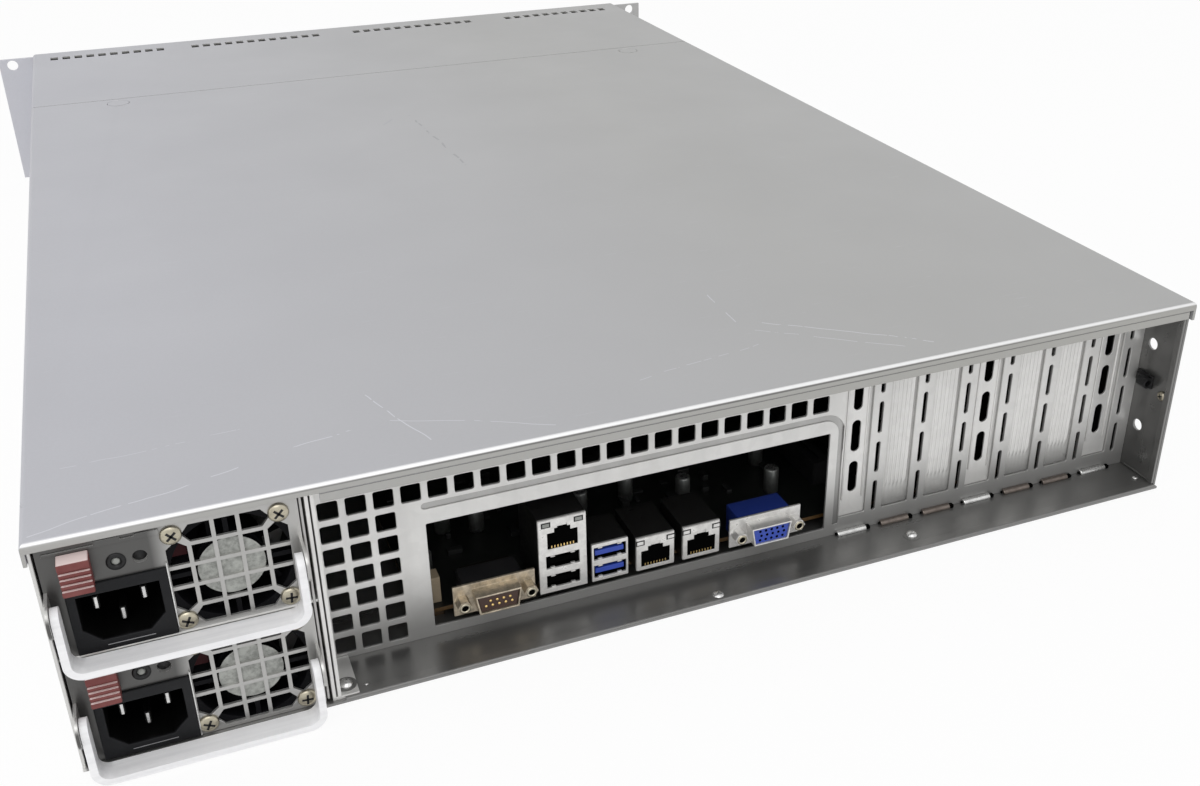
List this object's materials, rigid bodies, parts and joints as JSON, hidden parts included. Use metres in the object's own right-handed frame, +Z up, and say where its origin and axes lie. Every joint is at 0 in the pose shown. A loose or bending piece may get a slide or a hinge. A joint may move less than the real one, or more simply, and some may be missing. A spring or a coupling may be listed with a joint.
{
  "type": "rack server",
  "caption": "Two-unit rack server: folded steel chassis, sliding cover, hot-plug power supplies with folding bails, rear connector window, slot blanks and drive trays with levers.",
  "frame": {"origin": "middle of the chassis underside", "axes": "+Z up, +X from the power supplies towards the expansion slots, +Y towards the rack ears and drive bays; the rear panel faces -Y"},
  "size_m": [0.482, 0.6595, 0.088],
  "materials": {
    "cover_steel": "satin matt zinc-grey sheet",
    "zinc_steel": "bright galvanised sheet",
    "bay_steel": "galvanised sheet, slightly darker",
    "psu_steel": "bright plated sheet",
    "handle_steel": "satin strip",
    "black_plastic": "fine moulded black",
    "fan_plastic": "black moulded fan",
    "latch_plastic": "dusty burgundy moulding",
    "board_laminate": "dark board laminate",
    "port_shell": "bright tin-plated shell",
    "sink_aluminium": "finned aluminium",
    "module_plastic": "dark modules",
    "cage_steel": "galvanised sheet",
    "tray_plastic": "black tray and lever",
    "ear_steel": "satin grey sheet",
    "button_plastic": "grey moulded key"
  },
  "bodies": {
    "chassis": {"chassis_tray": "zinc_steel", "rear_panel": "zinc_steel", "slot_blanks": "zinc_steel", "psu_bay": "bay_steel", "front_top_plate": "cover_steel", "rack_ear_left": "ear_steel", "rack_ear_right": "ear_steel", "cable_clip": "black_plastic", "main_board": "board_laminate", "slot_connectors": "module_plastic", "cpu_heatsinks": "sink_aluminium", "memory_modules": "module_plastic", "serial_port": "port_shell", "display_port": "port_shell", "network_usb_stack": "port_shell", "usb_stack": "port_shell", "network_ports": "port_shell", "cooler_housings": "fan_plastic", "cooler_holder": "cage_steel", "power_distributor": "cage_steel", "drive_cage": "cage_steel", "drive_backplane": "board_laminate", "front_fascia": "tray_plastic", "control_panel": "tray_plastic"},
    "cover": {"top_cover": "cover_steel"},
    "cover_tab_left": {"cover_tab_left": "cover_steel"},
    "cover_tab_right": {"cover_tab_right": "cover_steel"},
    "psu_lower": {"psu_lower_case": "psu_steel", "psu_lower_inlet": "black_plastic", "psu_lower_fan_frame": "fan_plastic"},
    "psu_lower_rotor": {"psu_lower_rotor": "fan_plastic"},
    "psu_lower_latch": {"psu_lower_latch": "latch_plastic"},
    "psu_lower_handle": {"psu_lower_handle": "handle_steel"},
    "psu_upper": {"psu_upper_case": "psu_steel", "psu_upper_inlet": "black_plastic", "psu_upper_fan_frame": "fan_plastic"},
    "psu_upper_rotor": {"psu_upper_rotor": "fan_plastic"},
    "psu_upper_latch": {"psu_upper_latch": "latch_plastic"},
    "psu_upper_handle": {"psu_upper_handle": "handle_steel"},
    "cooler_rotor_1": {"cooler_rotor_1": "fan_plastic"},
    "cooler_rotor_2": {"cooler_rotor_2": "fan_plastic"},
    "cooler_rotor_3": {"cooler_rotor_3": "fan_plastic"},
    "drive_tray_a1": {"drive_tray_a1": "tray_plastic"},
    "drive_lever_a1": {"drive_lever_a1": "tray_plastic"},
    "drive_tray_a2": {"drive_tray_a2": "tray_plastic"},
    "drive_lever_a2": {"drive_lever_a2": "tray_plastic"},
    "drive_tray_b1": {"drive_tray_b1": "tray_plastic"},
    "drive_lever_b1": {"drive_lever_b1": "tray_plastic"},
    "drive_tray_b2": {"drive_tray_b2": "tray_plastic"},
    "drive_lever_b2": {"drive_lever_b2": "tray_plastic"},
    "drive_tray_c1": {"drive_tray_c1": "tray_plastic"},
    "drive_lever_c1": {"drive_lever_c1": "tray_plastic"},
    "drive_tray_c2": {"drive_tray_c2": "tray_plastic"},
    "drive_lever_c2": {"drive_lever_c2": "tray_plastic"},
    "drive_tray_d1": {"drive_tray_d1": "tray_plastic"},
    "drive_lever_d1": {"drive_lever_d1": "tray_plastic"},
    "drive_tray_d2": {"drive_tray_d2": "tray_plastic"},
    "drive_lever_d2": {"drive_lever_d2": "tray_plastic"},
    "power_button": {"power_button": "button_plastic"},
    "reset_button": {"reset_button": "button_plastic"}
  },
  "joints": [
    {"name": "cover_slide", "type": "slide", "parent": "chassis", "child": "cover", "axis": [0, -1, 0], "range_m": [0, 0.012]},
    {"name": "cover_tab_left_press", "type": "slide", "parent": "cover", "child": "cover_tab_left", "axis": [0, 0, -1], "range_m": [0, 0.0025], "stiffness_N_per_m": 600, "springref_m": -0.002},
    {"name": "cover_tab_right_press", "type": "slide", "parent": "cover", "child": "cover_tab_right", "axis": [0, 0, -1], "range_m": [0, 0.0025], "stiffness_N_per_m": 600, "springref_m": -0.002},
    {"name": "psu_lower_slide", "type": "slide", "parent": "chassis", "child": "psu_lower", "axis": [0, -1, 0], "range_m": [0, 0.3]},
    {"name": "psu_lower_rotor_spin", "type": "hinge", "parent": "psu_lower", "child": "psu_lower_rotor", "pos_m": [-0.1614, -0.311, 0.0216], "axis": [0, 1, 0], "continuous": true},
    {"name": "psu_lower_latch_slide", "type": "slide", "parent": "psu_lower", "child": "psu_lower_latch", "axis": [1, 0, 0], "range_m": [0, 0.003], "stiffness_N_per_m": 500, "springref_m": -0.002},
    {"name": "psu_lower_handle_swing", "type": "hinge", "parent": "psu_lower", "child": "psu_lower_handle", "pos_m": [-0.1773, -0.329, 0.0211], "axis": [-1, 0, 0], "range_deg": [0, 90]},
    {"name": "psu_upper_slide", "type": "slide", "parent": "chassis", "child": "psu_upper", "axis": [0, -1, 0], "range_m": [0, 0.3]},
    {"name": "psu_upper_rotor_spin", "type": "hinge", "parent": "psu_upper", "child": "psu_upper_rotor", "pos_m": [-0.1614, -0.311, 0.064], "axis": [0, 1, 0], "continuous": true},
    {"name": "psu_upper_latch_slide", "type": "slide", "parent": "psu_upper", "child": "psu_upper_latch", "axis": [1, 0, 0], "range_m": [0, 0.003], "stiffness_N_per_m": 500, "springref_m": -0.002},
    {"name": "psu_upper_handle_swing", "type": "hinge", "parent": "psu_upper", "child": "psu_upper_handle", "pos_m": [-0.1773, -0.329, 0.0635], "axis": [-1, 0, 0], "range_deg": [0, 90]},
    {"name": "cooler_rotor_1_spin", "type": "hinge", "parent": "chassis", "child": "cooler_rotor_1", "pos_m": [-0.078, 0.127, 0.0432], "axis": [0, 1, 0], "continuous": true},
    {"name": "cooler_rotor_2_spin", "type": "hinge", "parent": "chassis", "child": "cooler_rotor_2", "pos_m": [0.032, 0.127, 0.0432], "axis": [0, 1, 0], "continuous": true},
    {"name": "cooler_rotor_3_spin", "type": "hinge", "parent": "chassis", "child": "cooler_rotor_3", "pos_m": [0.142, 0.127, 0.0432], "axis": [0, 1, 0], "continuous": true},
    {"name": "drive_tray_a1_slide", "type": "slide", "parent": "chassis", "child": "drive_tray_a1", "axis": [0, 1, 0], "range_m": [0, 0.15]},
    {"name": "drive_lever_a1_swing", "type": "hinge", "parent": "drive_tray_a1", "child": "drive_lever_a1", "pos_m": [-0.2083, 0.3211, 0.0149], "axis": [0, 0, 1], "range_deg": [0, 75]},
    {"name": "drive_tray_a2_slide", "type": "slide", "parent": "chassis", "child": "drive_tray_a2", "axis": [0, 1, 0], "range_m": [0, 0.15]},
    {"name": "drive_lever_a2_swing", "type": "hinge", "parent": "drive_tray_a2", "child": "drive_lever_a2", "pos_m": [-0.2083, 0.3211, 0.0435], "axis": [0, 0, 1], "range_deg": [0, 75]},
    {"name": "drive_tray_b1_slide", "type": "slide", "parent": "chassis", "child": "drive_tray_b1", "axis": [0, 1, 0], "range_m": [0, 0.15]},
    {"name": "drive_lever_b1_swing", "type": "hinge", "parent": "drive_tray_b1", "child": "drive_lever_b1", "pos_m": [-0.1006, 0.3211, 0.0149], "axis": [0, 0, 1], "range_deg": [0, 75]},
    {"name": "drive_tray_b2_slide", "type": "slide", "parent": "chassis", "child": "drive_tray_b2", "axis": [0, 1, 0], "range_m": [0, 0.15]},
    {"name": "drive_lever_b2_swing", "type": "hinge", "parent": "drive_tray_b2", "child": "drive_lever_b2", "pos_m": [-0.1006, 0.3211, 0.0435], "axis": [0, 0, 1], "range_deg": [0, 75]},
    {"name": "drive_tray_c1_slide", "type": "slide", "parent": "chassis", "child": "drive_tray_c1", "axis": [0, 1, 0], "range_m": [0, 0.15]},
    {"name": "drive_lever_c1_swing", "type": "hinge", "parent": "drive_tray_c1", "child": "drive_lever_c1", "pos_m": [0.0071, 0.3211, 0.0149], "axis": [0, 0, 1], "range_deg": [0, 75]},
    {"name": "drive_tray_c2_slide", "type": "slide", "parent": "chassis", "child": "drive_tray_c2", "axis": [0, 1, 0], "range_m": [0, 0.15]},
    {"name": "drive_lever_c2_swing", "type": "hinge", "parent": "drive_tray_c2", "child": "drive_lever_c2", "pos_m": [0.0071, 0.3211, 0.0435], "axis": [0, 0, 1], "range_deg": [0, 75]},
    {"name": "drive_tray_d1_slide", "type": "slide", "parent": "chassis", "child": "drive_tray_d1", "axis": [0, 1, 0], "range_m": [0, 0.15]},
    {"name": "drive_lever_d1_swing", "type": "hinge", "parent": "drive_tray_d1", "child": "drive_lever_d1", "pos_m": [0.1148, 0.3211, 0.0149], "axis": [0, 0, 1], "range_deg": [0, 75]},
    {"name": "drive_tray_d2_slide", "type": "slide", "parent": "chassis", "child": "drive_tray_d2", "axis": [0, 1, 0], "range_m": [0, 0.15]},
    {"name": "drive_lever_d2_swing", "type": "hinge", "parent": "drive_tray_d2", "child": "drive_lever_d2", "pos_m": [0.1148, 0.3211, 0.0435], "axis": [0, 0, 1], "range_deg": [0, 75]},
    {"name": "power_button_press", "type": "slide", "parent": "chassis", "child": "power_button", "axis": [0, -1, 0], "range_m": [0, 0.0012], "stiffness_N_per_m": 400, "springref_m": -0.002},
    {"name": "reset_button_press", "type": "slide", "parent": "chassis", "child": "reset_button", "axis": [0, -1, 0], "range_m": [0, 0.0012], "stiffness_N_per_m": 400, "springref_m": -0.002}
  ]
}
